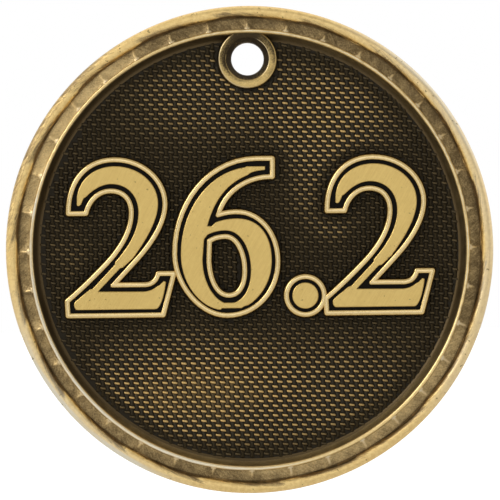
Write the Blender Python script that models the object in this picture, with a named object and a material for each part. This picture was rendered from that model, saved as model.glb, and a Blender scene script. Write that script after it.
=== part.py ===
"""A round award medal, 50.8 mm across, hanging upright by the ribbon hole at its top.

The medal is cast in one. It is modelled as the regions that the casting is finished in, each a
separate solid with a fine parting gap to its neighbours. Every region is drawn face up in the XY
plane about the medal's centre, with heights measured from the back, and one empty turns them all
upright: the front then faces -Y, +Z is up, and the origin is the middle of the ribbon hole.
"""

import math

import bmesh
import bpy
from mathutils import Vector
from mathutils.geometry import interpolate_bezier

# Driving dimensions, in metres.
MEDAL_RADIUS = 0.0254
THICKNESS = 0.003
GAP = 0.00005  # parting gap between two regions
HOLE_ABOVE_CENTRE = 0.0199
HOLE_RADIUS = 0.00169

# Radii of the regions, from the edge inwards.
RIM_INNER = 0.02422
BAND_INNER = 0.02308
LIP_CREST = 0.02290
LIP_INNER = 0.02200
EYELET_RADIUS = 0.00308
EYELET_SINK_RADIUS = 0.00222

# Heights above the back.
BACK_RECESS = 0.0002
PLATE_TOP = 0.0010
FIELD_TOP = 0.0017
GROOVE_FLOOR = 0.00215
EYELET_TOP = 0.00245
FACE_TOP = 0.0026
BEAD_TOP = 0.00265
LIP_TOP = 0.0028

# Cross-sections: setbacks and drops from the edges that they shape.
BACK_BEVEL = 0.0002
RIM_SHOULDER = 0.00013
RIM_SHOULDER_DROPS = (0.00045, 0.00012)
CREST_REACH = 0.00078  # from the rim's inside to its crest, where a lobe starts
CREST_SWEEP = 0.0006  # how much of that the crest gives up along the lobe
CREST_BEVEL = 0.0001
CREST_WIDTH = 0.00018
RIM_INSIDE_DROP = 0.00055
BAND_RINGS = (  # radius, height of a ridge there and how deep the flute is
    (RIM_INNER - GAP, 0.00245, 0.00005),
    (0.0235, 0.0026, 0.00018),
    (0.0232, 0.00268, 0.00027),
    (BAND_INNER, 0.00272, 0.00012),
)
LIP_BACK_DROP = 0.00008
LIP_BEVEL = (0.00017, 0.0001)
LIP_FOOT = 0.00005
EYELET_BACK_SINK = 0.0004
EYELET_BEVEL = 0.00015
EYELET_SINK_DEPTH = 0.0007

# What repeats round the edge.
LOBES = 18
LOBE_START = math.radians(10)
LOBE_STEPS = 6
LOBE_SWEEP_END = 0.62  # share of the lobe over which the crest sweeps inwards
FLUTES = 36
FLUTE_STEPS = 4
ROUND_STEPS = 96
HOLE_STEPS = 40

# Numerals: a raised bead follows each outline, with a brushed face inside it.
BEAD_HALF = 0.00024
BASELINE = -0.0067
LEFT_TWO_X = -0.0139
SIX_X = -0.0024
RIGHT_TWO_X = 0.0131
POINT_CENTRE = (0.00577, -0.00487)
POINT_BEAD_RADIUS = 0.00195
POINT_FACE_RADIUS = 0.00138
CURVE_STEPS = 6
CORNER_STEPS = 3
SHARP_TURN = math.radians(25)

GOLD = (0.60, 0.42, 0.16)
BRIGHT_GOLD = (0.68, 0.50, 0.22)
BRUSHED_GOLD = (0.62, 0.44, 0.16)
BAND_BRONZE = (0.26, 0.19, 0.09)
DARK_PATINA = (0.035, 0.028, 0.016)

# Outlines in millimetres, from the numeral's middle line and the baseline, clockwise. A pair is a
# straight run to that point. Six numbers are a Bezier curve: two handles and its end point.
TWO_BEAD = [
    (-4.95, 10.67),
    (-4.95, 13.97, -3.15, 16.2, -0.15, 16.2),
    (2.75, 16.2, 5.1, 14.1, 5.1, 11.6),
    (5.1, 9.4, 3.38, 7.15, 2.0, 5.7),
    (-0.45, 3.12),
    (2.9, 3.12),
    (3.7, 3.12, 4.2, 3.6, 4.35, 4.28),
    (5.95, 4.28),
    (4.8, 0.0),
    (-5.1, 0.0),
    (-5.17, 1.5),
    (-3.7, 2.7, -2.32, 4.06, -1.2, 5.2),
    (0.34, 6.76, 1.63, 8.7, 1.63, 10.7),
    (1.63, 12.05, 0.85, 13.0, -0.55, 13.0),
    (-1.85, 13.0, -2.85, 12.0, -3.15, 10.67),
]
TWO_FACE = [
    (-4.08, 12.4),
    (-3.98, 12.85),
    (-3.7, 14.0, -2.5, 15.57, -0.1, 15.57),
    (2.4, 15.57, 4.43, 13.8, 4.43, 11.65),
    (4.43, 9.9, 3.15, 7.8, 1.75, 5.95),
    (0.7, 4.95),
    (0.35, 4.85),
    (-1.92, 2.5),
    (2.7, 2.46),
    (3.4, 2.46, 3.95, 2.75, 4.25, 3.02),
    (4.48, 3.12),
    (4.88, 3.53),
    (5.14, 3.45),
    (5.05, 2.5, 4.75, 1.35, 4.45, 0.9),
    (4.3, 0.65, 4.15, 0.56, 3.95, 0.56),
    (-4.1, 0.56),
    (-4.35, 0.56, -4.5, 0.85, -4.5, 1.15),
    (-4.5, 1.3, -4.4, 1.45, -4.25, 1.58),
    (-2.85, 2.72),
    (-2.52, 2.82),
    (-0.2, 5.28),
    (-0.15, 5.58),
    (1.0, 6.85, 2.33, 8.6, 2.33, 10.7),
    (2.33, 12.45, 1.2, 13.67, -0.5, 13.67),
    (-1.4, 13.67, -2.4, 13.1, -3.1, 12.35),
    (-3.35, 12.2),
    (-3.6, 11.65),
    (-3.68, 11.4, -4.05, 11.3, -4.1, 11.55),
]
SIX_BEAD = [
    (4.85, 16.17),
    (4.85, 14.3),
    (2.9, 14.4, 0.05, 13.4, -0.88, 10.32),
    (-0.2, 10.53, 0.4, 10.63, 1.1, 10.63),
    (3.3, 10.63, 5.32, 8.6, 5.32, 5.5),
    (5.32, 2.4, 3.1, -0.12, 0.0, -0.12),
    (-2.8, -0.12, -5.4, 3.1, -5.4, 6.3),
    (-5.4, 11.6, -1.8, 16.17, 3.2, 16.17),
]
SIX_BEAD_EYE = [
    (-1.8, 7.65),
    (-1.3, 7.98, -0.7, 8.12, -0.1, 8.12),
    (1.1, 8.12, 1.9, 6.4, 1.9, 4.6),
    (1.9, 3.0, 1.3, 1.92, 0.2, 1.92),
    (-1.2, 1.92, -1.88, 3.9, -1.88, 5.7),
]
SIX_FACE = [
    (4.15, 15.4),
    (4.12, 14.98),
    (3.4, 14.9),
    (3.1, 14.85, 2.7, 14.75, 2.45, 14.58),
    (2.3, 14.45),
    (0.1, 13.6, -1.2, 11.9, -1.95, 9.22),
    (-1.55, 9.2),
    (-1.15, 9.58),
    (-0.5, 9.85, 0.3, 9.98, 1.15, 9.98),
    (3.2, 9.98, 4.73, 8.5, 4.73, 5.6),
    (4.73, 3.5, 3.6, 1.7, 2.2, 0.88),
    (1.85, 0.8),
    (1.5, 0.58),
    (-0.55, 0.58),
    (-0.65, 0.45),
    (-0.95, 0.45),
    (-3.0, 0.9, -4.8, 3.3, -4.8, 6.2),
    (-4.8, 11.0, -1.7, 14.9, 2.05, 15.32),
    (2.15, 15.4),
]
SIX_FACE_EYE = [
    (-2.32, 7.8),
    (-2.22, 7.95),
    (-1.95, 8.28),
    (-1.4, 8.55, -0.8, 8.7, -0.1, 8.7),
    (1.5, 8.7, 2.5, 6.8, 2.5, 4.6),
    (2.5, 3.3, 2.1, 2.2, 1.55, 1.7),
    (1.2, 1.4, 0.9, 1.2, 0.6, 1.2),
    (-0.3, 1.2),
    (-1.5, 1.7, -2.5, 3.5, -2.5, 5.7),
]


def clear_scene():
    for obj in list(bpy.data.objects):
        bpy.data.objects.remove(obj)


def add_upright_frame():
    """The empty that stands the medal up. Its XY plane is the medal's back."""
    frame = bpy.data.objects.new("medal_frame", None)
    bpy.context.scene.collection.objects.link(frame)
    frame.location = (0.0, THICKNESS / 2, -HOLE_ABOVE_CENTRE)
    frame.rotation_euler = (math.pi / 2, 0.0, 0.0)
    return frame


def metal(name, colour, roughness):
    made = bpy.data.materials.new(name)
    made.use_nodes = True
    shader = made.node_tree.nodes["Principled BSDF"]
    shader.inputs["Base Color"].default_value = (*colour, 1.0)
    shader.inputs["Metallic"].default_value = 1.0
    shader.inputs["Roughness"].default_value = roughness
    return made


def add_object(name, bm, frame, smooth_below=40):
    """Closes off a bmesh as an object that stands with the frame."""
    bmesh.ops.recalc_face_normals(bm, faces=bm.faces)
    mesh = bpy.data.meshes.new(name)
    bm.to_mesh(mesh)
    bm.free()
    mesh.shade_smooth()
    mesh.set_sharp_from_angle(angle=math.radians(smooth_below))
    obj = bpy.data.objects.new(name, mesh)
    bpy.context.scene.collection.objects.link(obj)
    obj.parent = frame
    return obj


def finish_as(obj, colour, roughness):
    obj.data.materials.append(metal(obj.name, colour, roughness))
    return obj


def circle(centre, radius, steps):
    """Points round a circle, clockwise from its top."""
    turns = [2 * math.pi * i / steps for i in range(steps)]
    return [
        (centre[0] + radius * math.sin(turn), centre[1] + radius * math.cos(turn))
        for turn in turns
    ]


def ring(name, section_at, steps, frame, centre=(0.0, 0.0)):
    """A closed ring. section_at(angle) gives its cross-section there as (radius, height) points.

    Angles run clockwise from the top.
    """
    bm = bmesh.new()
    sections = []
    for step in range(steps):
        angle = 2 * math.pi * step / steps
        across, up = math.sin(angle), math.cos(angle)
        section = [
            bm.verts.new((centre[0] + r * across, centre[1] + r * up, height))
            for r, height in section_at(angle)
        ]
        sections.append(section)
    for here, there in zip(sections, sections[1:] + sections[:1]):
        for i in range(len(here)):
            bm.faces.new((here[i - 1], here[i], there[i], there[i - 1]))
    return add_object(name, bm, frame)


def disc(name, radius, low, high, steps, frame, centre=(0.0, 0.0)):
    return plate(name, [circle(centre, radius, steps)], low, high, frame)


def plate(name, loops, low, high, frame):
    """A flat plate between two heights. The first loop is its edge, and the others are its holes."""
    bm = bmesh.new()
    for loop in loops:
        corners = [bm.verts.new((x, y, low)) for x, y in loop]
        for i, corner in enumerate(corners):
            bm.edges.new((corners[i - 1], corner))
    bmesh.ops.triangle_fill(bm, edges=bm.edges[:], use_beauty=True)
    risen = bmesh.ops.extrude_face_region(bm, geom=bm.faces[:])["geom"]
    tops = [v for v in risen if isinstance(v, bmesh.types.BMVert)]
    bmesh.ops.translate(bm, verts=tops, vec=(0.0, 0.0, high - low))
    return add_object(name, bm, frame)


def cut(obj, cutter):
    """Takes the cutter's shape out of the object. The cutter stays as a wire guide."""
    cutter.hide_render = True
    cutter.display_type = "WIRE"
    boolean = obj.modifiers.new("cut_" + cutter.name, "BOOLEAN")
    boolean.operation = "DIFFERENCE"
    boolean.solver = "EXACT"
    boolean.object = cutter


def outline_points(outline, middle_x):
    """The outline as points in metres, with its Bezier curves sampled."""
    here = Vector(outline[-1][-2:])
    points = []
    for run in outline:
        end = Vector(run[-2:])
        if len(run) == 2:
            points.append(end)
        else:
            handles = Vector(run[0:2]), Vector(run[2:4])
            points += interpolate_bezier(here, *handles, end, CURVE_STEPS + 1)[1:]
        here = end
    return [(middle_x + p[0] / 1000, BASELINE + p[1] / 1000) for p in points]


def moved_out(points, distance):
    """A clockwise loop moved outwards, or inwards if distance is negative.

    Sharp corners that open up are rounded, and those that close in stay mitred.
    """
    moved = []
    for i, corner in enumerate(points):
        here = Vector(corner)
        into = (here - Vector(points[i - 1])).normalized()
        out_of = (Vector(points[(i + 1) % len(points)]) - here).normalized()
        left_in = Vector((-into.y, into.x))
        left_out = Vector((-out_of.y, out_of.x))
        turn = -math.atan2(into.cross(out_of), into.dot(out_of))
        if turn * distance > 0 and abs(turn) > SHARP_TURN:
            for step in range(CORNER_STEPS + 1):
                side = left_in.slerp(left_out, step / CORNER_STEPS)
                moved.append(tuple(here + side * distance))
        else:
            mitre = (left_in + left_out) / (1 + left_in.dot(left_out))
            moved.append(tuple(here + mitre * distance))
    return moved


def numeral_border(name, bead, eye, frame):
    """The tray that a numeral's face lies in: a floor with a raised bead round its edge.

    bead is the bead's middle line, and eye the one round the numeral's opening, if it has one.
    """
    edge = [moved_out(bead, BEAD_HALF)]
    well = [moved_out(bead, -BEAD_HALF)]
    if eye:
        edge.append(moved_out(eye, -BEAD_HALF))
        well.append(moved_out(eye, BEAD_HALF))
    border = plate(name, edge, FIELD_TOP + GAP, BEAD_TOP, frame)
    well_cutter = plate(name + "_well", well, GROOVE_FLOOR, THICKNESS, frame)
    cut(border, well_cutter)
    return finish_as(border, BRIGHT_GOLD, 0.3)


def numeral_face(name, loops, frame):
    face = plate(name, loops, GROOVE_FLOOR + GAP, FACE_TOP, frame)
    return finish_as(face, BRUSHED_GOLD, 0.35)


def clearance_of(name, bead, frame):
    """A cutter that keeps a numeral's border, and the parting gap round it, clear."""
    loop = moved_out(bead, BEAD_HALF + GAP)
    return plate(name, [loop], 0.0, THICKNESS, frame)


def lobe_crest(angle):
    """Radius where the rim's rounded top begins. It sweeps inwards along each lobe."""
    along = ((angle - LOBE_START) * LOBES / (2 * math.pi)) % 1.0
    share = min(along / LOBE_SWEEP_END, 1.0)
    sweep = share * share * (3 - 2 * share)
    return RIM_INNER + CREST_REACH - CREST_SWEEP * sweep


def rim_section(angle):
    crest = lobe_crest(angle)
    return [
        (RIM_INNER, 0.0),
        (MEDAL_RADIUS - BACK_BEVEL, 0.0),
        (MEDAL_RADIUS, BACK_BEVEL),
        (MEDAL_RADIUS, THICKNESS - RIM_SHOULDER_DROPS[0]),
        (MEDAL_RADIUS - RIM_SHOULDER, THICKNESS - RIM_SHOULDER_DROPS[1]),
        (crest + CREST_WIDTH, THICKNESS),
        (crest, THICKNESS - CREST_BEVEL),
        (RIM_INNER, THICKNESS - RIM_INSIDE_DROP),
    ]


def add_outer_rim(frame):
    rim = ring("outer_rim", rim_section, LOBES * LOBE_STEPS, frame)
    return finish_as(rim, GOLD, 0.35)


def band_section(angle):
    """The band rises towards the lip, and each flute is hollowed out of it between two ridges."""
    across = (angle * FLUTES / (2 * math.pi)) % 1.0
    hollow = 1 - (2 * across - 1) ** 2
    under = [(BAND_INNER, PLATE_TOP + GAP), (RIM_INNER - GAP, PLATE_TOP + GAP)]
    return under + [(r, ridge - depth * hollow) for r, ridge, depth in BAND_RINGS]


def add_fluted_band(frame):
    band = ring("fluted_band", band_section, FLUTES * FLUTE_STEPS, frame)
    return finish_as(band, BAND_BRONZE, 0.45)


def lip_section(_angle):
    return [
        (LIP_INNER, PLATE_TOP + GAP),
        (BAND_INNER - GAP, PLATE_TOP + GAP),
        (BAND_INNER - GAP, LIP_TOP - LIP_BACK_DROP),
        (LIP_CREST, LIP_TOP),
        (LIP_CREST - LIP_BEVEL[0], LIP_TOP - LIP_BEVEL[1]),
        (LIP_INNER + LIP_FOOT, FIELD_TOP),
    ]


def add_inner_lip(frame):
    lip = ring("inner_lip", lip_section, ROUND_STEPS, frame)
    return finish_as(lip, BRIGHT_GOLD, 0.25)


def add_medal_body(frame):
    """The back plate. The eyelet passes through it."""
    body = disc("medal_body", RIM_INNER - GAP, BACK_RECESS, PLATE_TOP, ROUND_STEPS, frame)
    eyelet_room = disc(
        "eyelet_room",
        EYELET_RADIUS + GAP,
        -THICKNESS,
        2 * THICKNESS,
        HOLE_STEPS,
        frame,
        (0.0, HOLE_ABOVE_CENTRE),
    )
    cut(body, eyelet_room)
    field_radius = LIP_INNER - GAP
    field = disc("weave_field", field_radius, PLATE_TOP + GAP, FIELD_TOP, ROUND_STEPS, frame)
    cut(field, eyelet_room)
    return finish_as(body, GOLD, 0.4), finish_as(field, DARK_PATINA, 0.55)


def eyelet_section(_angle):
    """A collar right through the medal, countersunk at both ends."""
    return [
        (HOLE_RADIUS, EYELET_BACK_SINK),
        (HOLE_RADIUS + EYELET_BACK_SINK, 0.0),
        (EYELET_RADIUS, 0.0),
        (EYELET_RADIUS, EYELET_TOP - EYELET_BEVEL),
        (EYELET_RADIUS - EYELET_BEVEL, EYELET_TOP),
        (EYELET_SINK_RADIUS, EYELET_TOP),
        (HOLE_RADIUS, EYELET_TOP - EYELET_SINK_DEPTH),
    ]


def under_lip_section(_angle):
    """Where the lip and the band stand, with the parting gap."""
    inner = LIP_INNER - GAP
    return [
        (inner, PLATE_TOP),
        (MEDAL_RADIUS, PLATE_TOP),
        (MEDAL_RADIUS, THICKNESS),
        (inner, THICKNESS),
    ]


def add_ribbon_eyelet(frame):
    centre = (0.0, HOLE_ABOVE_CENTRE)
    eyelet = ring("ribbon_eyelet", eyelet_section, HOLE_STEPS, frame, centre)
    cut(eyelet, ring("lip_room", under_lip_section, ROUND_STEPS, frame))
    return finish_as(eyelet, GOLD, 0.4)


def add_two(side, middle_x, frame):
    bead = outline_points(TWO_BEAD, middle_x)
    border = numeral_border(f"{side}_two_border", bead, None, frame)
    numeral_face(f"{side}_two_face", [outline_points(TWO_FACE, middle_x)], frame)
    return border, bead


def add_six(frame):
    bead = outline_points(SIX_BEAD, SIX_X)
    eye = outline_points(SIX_BEAD_EYE, SIX_X)
    numeral_border("six_border", bead, eye, frame)
    loops = [outline_points(SIX_FACE, SIX_X), outline_points(SIX_FACE_EYE, SIX_X)]
    numeral_face("six_face", loops, frame)
    return bead


def add_point(frame):
    bead = circle(POINT_CENTRE, POINT_BEAD_RADIUS, HOLE_STEPS)
    border = numeral_border("point_border", bead, None, frame)
    face_loop = circle(POINT_CENTRE, POINT_FACE_RADIUS, HOLE_STEPS)
    numeral_face("point_face", [face_loop], frame)
    return border


def add_numerals(frame):
    """The four numerals. Where two of them run together, one gives way to the other."""
    left_two, _ = add_two("left", LEFT_TWO_X, frame)
    six_bead = add_six(frame)
    cut(left_two, clearance_of("six_clearance", six_bead, frame))
    point = add_point(frame)
    _, right_bead = add_two("right", RIGHT_TWO_X, frame)
    cut(point, clearance_of("right_two_clearance", right_bead, frame))


def main():
    clear_scene()
    frame = add_upright_frame()
    add_medal_body(frame)
    add_outer_rim(frame)
    add_fluted_band(frame)
    add_inner_lip(frame)
    add_ribbon_eyelet(frame)
    add_numerals(frame)


main()
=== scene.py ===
import math

import bmesh
import bpy
import numpy as np
from mathutils import Matrix, Vector
from mathutils.geometry import interpolate_bezier


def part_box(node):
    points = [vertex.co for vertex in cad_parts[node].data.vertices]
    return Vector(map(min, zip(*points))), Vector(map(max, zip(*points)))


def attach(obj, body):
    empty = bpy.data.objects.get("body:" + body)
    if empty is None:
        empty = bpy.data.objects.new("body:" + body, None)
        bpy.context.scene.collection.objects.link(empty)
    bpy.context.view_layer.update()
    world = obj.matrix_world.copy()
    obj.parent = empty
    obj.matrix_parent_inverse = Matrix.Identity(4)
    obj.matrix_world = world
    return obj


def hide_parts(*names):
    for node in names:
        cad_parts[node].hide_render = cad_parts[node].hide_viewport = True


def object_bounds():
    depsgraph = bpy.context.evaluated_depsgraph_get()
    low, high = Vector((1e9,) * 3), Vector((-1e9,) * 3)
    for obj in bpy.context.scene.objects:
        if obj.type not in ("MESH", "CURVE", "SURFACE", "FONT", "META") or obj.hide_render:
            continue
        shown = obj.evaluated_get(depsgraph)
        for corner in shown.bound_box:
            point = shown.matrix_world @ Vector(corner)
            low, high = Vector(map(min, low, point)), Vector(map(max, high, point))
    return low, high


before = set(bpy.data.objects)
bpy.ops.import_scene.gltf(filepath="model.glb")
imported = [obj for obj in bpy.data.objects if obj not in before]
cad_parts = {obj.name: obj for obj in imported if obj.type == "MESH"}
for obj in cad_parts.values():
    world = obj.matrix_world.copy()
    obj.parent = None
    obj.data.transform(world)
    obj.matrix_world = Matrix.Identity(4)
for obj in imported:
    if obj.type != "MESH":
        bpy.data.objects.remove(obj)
CAD_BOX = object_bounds()

MM = 0.001
BODY = "root"

# The medal's own frame: x and y in the plane of its face, from its middle, and z up from its back.
RIM_LOW, RIM_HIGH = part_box("outer_rim")
RADIUS = (RIM_HIGH.x - RIM_LOW.x) / 2
THICKNESS = RIM_HIGH.y - RIM_LOW.y
MIDDLE = (RIM_LOW + RIM_HIGH) / 2
STANDING = Matrix.Translation((MIDDLE.x, RIM_HIGH.y, MIDDLE.z)) @ Matrix.Rotation(math.pi / 2, 4, "X")


def reach(node):
    """How far a round node reaches from its own middle."""
    low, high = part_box(node)
    return (high.x - low.x) / 2


def top_of(node):
    """The height of a node's front above the medal's back."""
    return RIM_HIGH.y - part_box(node)[0].y


def corner_of(node):
    """A node's lowest corner in the medal's own x and y."""
    low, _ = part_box(node)
    return low.x - MIDDLE.x, low.z - MIDDLE.z


BAND_OUTER = reach("fluted_band")
LIP_OUTER = reach("inner_lip")
FIELD_RADIUS = reach("weave_field")
EYELET_RADIUS = reach("ribbon_eyelet")
LIP_TOP = top_of("inner_lip")
EYELET_TOP = top_of("ribbon_eyelet")
BEAD_TOP = top_of("six_border")
FACE_TOP = top_of("six_face")
FIELD_TOP = top_of("weave_field")
BACK_RECESS = RIM_HIGH.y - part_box("medal_body")[1].y
HOLE_CENTRE = (-MIDDLE.x, -MIDDLE.z)  # the frame's origin is the middle of the ribbon hole

HOLE_RADIUS = 1.69 * MM
SINK_RADIUS = 2.22 * MM
GROUND_TOP = FIELD_TOP - 0.12 * MM
GROOVE_FLOOR = FACE_TOP - 0.45 * MM
BEAD_HALF = 0.24 * MM
LOBES = 18
LOBE_START = math.radians(10)
FLUTES = 36
CURVE_STEPS = 14
CORNER_STEPS = 5
SHARP_TURN = math.radians(25)

# Pale colour for worn edges and for painted reflections and painted highlights.
PALE_WEAR_AND_SHEEN = (0.89, 0.81, 0.63)
DIMMED = (0.82, 0.76, 0.68)
COAT_ROUGHNESS = 0.2
# Features of each kind of noise in a metre.
BLOTCH_SCALE = 900
MOTTLE_SCALE = 2600
STREAK_SCALE = 5200
SCRATCH_SCALE = 330
PIT_SCALE = 2300
STREAK_STRETCH = 0.16

# Outlines in millimetres, from the numeral's middle line and the baseline, clockwise. A pair is a
# straight run to that point. Six numbers are a Bezier curve: two handles and its end point.
TWO_BEAD = [
    (-4.95, 10.67),
    (-4.95, 13.97, -3.15, 16.2, -0.15, 16.2),
    (2.75, 16.2, 5.1, 14.1, 5.1, 11.6),
    (5.1, 9.4, 3.38, 7.15, 2.0, 5.7),
    (-0.45, 3.12),
    (2.9, 3.12),
    (3.7, 3.12, 4.2, 3.6, 4.35, 4.28),
    (5.95, 4.28),
    (4.8, 0.0),
    (-5.1, 0.0),
    (-5.17, 1.5),
    (-3.7, 2.7, -2.32, 4.06, -1.2, 5.2),
    (0.34, 6.76, 1.63, 8.7, 1.63, 10.7),
    (1.63, 12.05, 0.85, 13.0, -0.55, 13.0),
    (-1.85, 13.0, -2.85, 12.0, -3.15, 10.67),
]
TWO_FACE = [
    (-4.08, 12.4),
    (-3.98, 12.85),
    (-3.7, 14.0, -2.5, 15.57, -0.1, 15.57),
    (2.4, 15.57, 4.43, 13.8, 4.43, 11.65),
    (4.43, 9.9, 3.15, 7.8, 1.75, 5.95),
    (0.7, 4.95),
    (0.35, 4.85),
    (-1.92, 2.5),
    (2.7, 2.46),
    (3.4, 2.46, 3.95, 2.75, 4.25, 3.02),
    (4.48, 3.12),
    (4.88, 3.53),
    (5.14, 3.45),
    (5.05, 2.5, 4.75, 1.35, 4.45, 0.9),
    (4.3, 0.65, 4.15, 0.56, 3.95, 0.56),
    (-4.1, 0.56),
    (-4.35, 0.56, -4.5, 0.85, -4.5, 1.15),
    (-4.5, 1.3, -4.4, 1.45, -4.25, 1.58),
    (-2.85, 2.72),
    (-2.52, 2.82),
    (-0.2, 5.28),
    (-0.15, 5.58),
    (1.0, 6.85, 2.33, 8.6, 2.33, 10.7),
    (2.33, 12.45, 1.2, 13.67, -0.5, 13.67),
    (-1.4, 13.67, -2.4, 13.1, -3.1, 12.35),
    (-3.35, 12.2),
    (-3.6, 11.65),
    (-3.68, 11.4, -4.05, 11.3, -4.1, 11.55),
]
SIX_BEAD = [
    (4.85, 16.17),
    (4.85, 14.3),
    (2.9, 14.4, 0.05, 13.4, -0.88, 10.32),
    (-0.2, 10.53, 0.4, 10.63, 1.1, 10.63),
    (3.3, 10.63, 5.32, 8.6, 5.32, 5.5),
    (5.32, 2.4, 3.1, -0.12, 0.0, -0.12),
    (-2.8, -0.12, -5.4, 3.1, -5.4, 6.3),
    (-5.4, 11.6, -1.8, 16.17, 3.2, 16.17),
]
SIX_BEAD_EYE = [
    (-1.8, 7.65),
    (-1.3, 7.98, -0.7, 8.12, -0.1, 8.12),
    (1.1, 8.12, 1.9, 6.4, 1.9, 4.6),
    (1.9, 3.0, 1.3, 1.92, 0.2, 1.92),
    (-1.2, 1.92, -1.88, 3.9, -1.88, 5.7),
]
SIX_FACE = [
    (4.15, 15.4),
    (4.12, 14.98),
    (3.4, 14.9),
    (3.1, 14.85, 2.7, 14.75, 2.45, 14.58),
    (2.3, 14.45),
    (0.1, 13.6, -1.2, 11.9, -1.95, 9.22),
    (-1.55, 9.2),
    (-1.15, 9.58),
    (-0.5, 9.85, 0.3, 9.98, 1.15, 9.98),
    (3.2, 9.98, 4.73, 8.5, 4.73, 5.6),
    (4.73, 3.5, 3.6, 1.7, 2.2, 0.88),
    (1.85, 0.8),
    (1.5, 0.58),
    (-0.55, 0.58),
    (-0.65, 0.45),
    (-0.95, 0.45),
    (-3.0, 0.9, -4.8, 3.3, -4.8, 6.2),
    (-4.8, 11.0, -1.7, 14.9, 2.05, 15.32),
    (2.15, 15.4),
]
SIX_FACE_EYE = [
    (-2.32, 7.8),
    (-2.22, 7.95),
    (-1.95, 8.28),
    (-1.4, 8.55, -0.8, 8.7, -0.1, 8.7),
    (1.5, 8.7, 2.5, 6.8, 2.5, 4.6),
    (2.5, 3.3, 2.1, 2.2, 1.55, 1.7),
    (1.2, 1.4, 0.9, 1.2, 0.6, 1.2),
    (-0.3, 1.2),
    (-1.5, 1.7, -2.5, 3.5, -2.5, 5.7),
]


# ---------------------------------------------------------------- outlines


def outline_points(outline):
    """The outline as points in metres, with its Bezier curves sampled."""
    here = Vector(outline[-1][-2:])
    points = []
    for run in outline:
        end = Vector(run[-2:])
        if len(run) == 2:
            points.append(end)
        else:
            handles = Vector(run[0:2]), Vector(run[2:4])
            points += interpolate_bezier(here, *handles, end, CURVE_STEPS + 1)[1:]
        here = end
    return np.array([p * MM for p in points])


def circle(centre, radius, steps):
    """Points round a circle, clockwise from its top."""
    turns = np.linspace(0, 2 * math.pi, steps, endpoint=False)
    return np.stack([centre[0] + radius * np.sin(turns), centre[1] + radius * np.cos(turns)], 1)


def moved_out(points, distance):
    """A clockwise loop moved outwards, or inwards if distance is negative.

    Every distance gives as many points: a sharp corner is a fan where it opens up, and the fan's
    points lie together on the mitre where it closes in.
    """
    moved = []
    for i, corner in enumerate(points):
        here = Vector(corner)
        into = (here - Vector(points[i - 1])).normalized()
        out_of = (Vector(points[(i + 1) % len(points)]) - here).normalized()
        left_in = Vector((-into.y, into.x))
        left_out = Vector((-out_of.y, out_of.x))
        mitre = (left_in + left_out) / (1 + left_in.dot(left_out))
        turn = -math.atan2(into.cross(out_of), into.dot(out_of))
        fan = CORNER_STEPS + 1 if abs(turn) > SHARP_TURN else 1
        for step in range(fan):
            side = mitre
            if fan > 1 and turn * distance > 0:
                side = left_in.slerp(left_out, step / CORNER_STEPS)
            moved.append(here + side * distance)
    return unfolded(np.array(moved), points)


def unfolded(moved, points):
    """Draws together the points of a moved loop where it has folded back on itself."""
    passes = 8
    along = first_directions(points)
    for _ in range(passes):
        edge = np.roll(moved, -1, axis=0) - moved
        back = (edge * along).sum(1) < -1e-9
        if not back.any():
            break
        following = np.roll(np.arange(len(moved)), -1)
        for i in np.flatnonzero(back):
            both = (moved[i] + moved[following[i]]) / 2
            moved[i] = both
            moved[following[i]] = both
    return moved


def first_directions(points):
    """For each edge of a moved loop, the direction of the edge it came from in the first loop."""
    runs = np.roll(points, -1, axis=0) - points
    counts = []
    for i in range(len(points)):
        into = Vector(points[i] - points[i - 1])
        out_of = Vector(points[(i + 1) % len(points)] - points[i])
        turn = math.atan2(into.cross(out_of), into.dot(out_of))
        counts.append(CORNER_STEPS + 1 if abs(turn) > SHARP_TURN else 1)
    return np.repeat(runs, counts, axis=0)


def placed(outline, node):
    """A bead outline moved so that its outer edge meets the lowest corner of its CAD node."""
    points = outline_points(outline)
    edge = moved_out(points, BEAD_HALF)
    return points + np.array(corner_of(node)) - edge.min(0)


def distance_to(loop, places):
    """Distance of each place to a closed loop, negative inside it."""
    a = loop[None, :, :]
    b = np.roll(loop, -1, axis=0)[None, :, :]
    p = places[:, None, :]
    run = b - a
    share = np.clip(((p - a) * run).sum(2) / np.maximum((run**2).sum(2), 1e-18), 0, 1)
    near = np.sqrt((((a + share[..., None] * run) - p) ** 2).sum(2)).min(1)
    straddles = (a[..., 1] > p[..., 1]) != (b[..., 1] > p[..., 1])
    height = np.where(np.abs(run[..., 1]) < 1e-15, 1e-15, run[..., 1])
    crossing = a[..., 0] + (p[..., 1] - a[..., 1]) * run[..., 0] / height
    inside = (straddles & (p[..., 0] < crossing)).sum(1) % 2 == 1
    return np.where(inside, -near, near)


def smooth(low, high, value):
    """0 below low, 1 above high, and a smooth rise between them."""
    t = np.clip((value - low) / (high - low), 0, 1)
    return t * t * (3 - 2 * t)


def part_of_turn(turn, start, full, fading, end):
    """1 from full to fading, in degrees, and 0 before start and after end."""
    return smooth(start, full, turn) * (1 - smooth(fading, end, turn))


def ripple(*parts):
    """A gentle irregular wave between about -1 and 1, from unrelated sines."""
    total = 0
    for i, part in enumerate(parts):
        total = total + np.sin(part + 1.7 * i) * 0.6 + np.sin(2.3 * part + 0.9 * i) * 0.4
    return total / len(parts)


# ---------------------------------------------------------------- meshes


def set_marks(mesh, marks):
    """Stores one number a point under each name, for the materials to read."""
    for name, values in marks.items():
        layer = mesh.attributes.new(name, "FLOAT", "POINT")
        layer.data.foreach_set("value", np.asarray(values, np.float32))


def finish_piece(name, mesh, material, nodes=(), smooth_below=40):
    """Stands a mesh up with the medal, and has it ride on its body."""
    mesh.shade_smooth()
    mesh.set_sharp_from_angle(angle=math.radians(smooth_below))
    mesh.materials.append(material)
    piece = bpy.data.objects.new(name, mesh)
    bpy.context.scene.collection.objects.link(piece)
    piece.matrix_world = STANDING
    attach(piece, BODY)
    if nodes:
        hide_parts(*nodes)
    return piece


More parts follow.
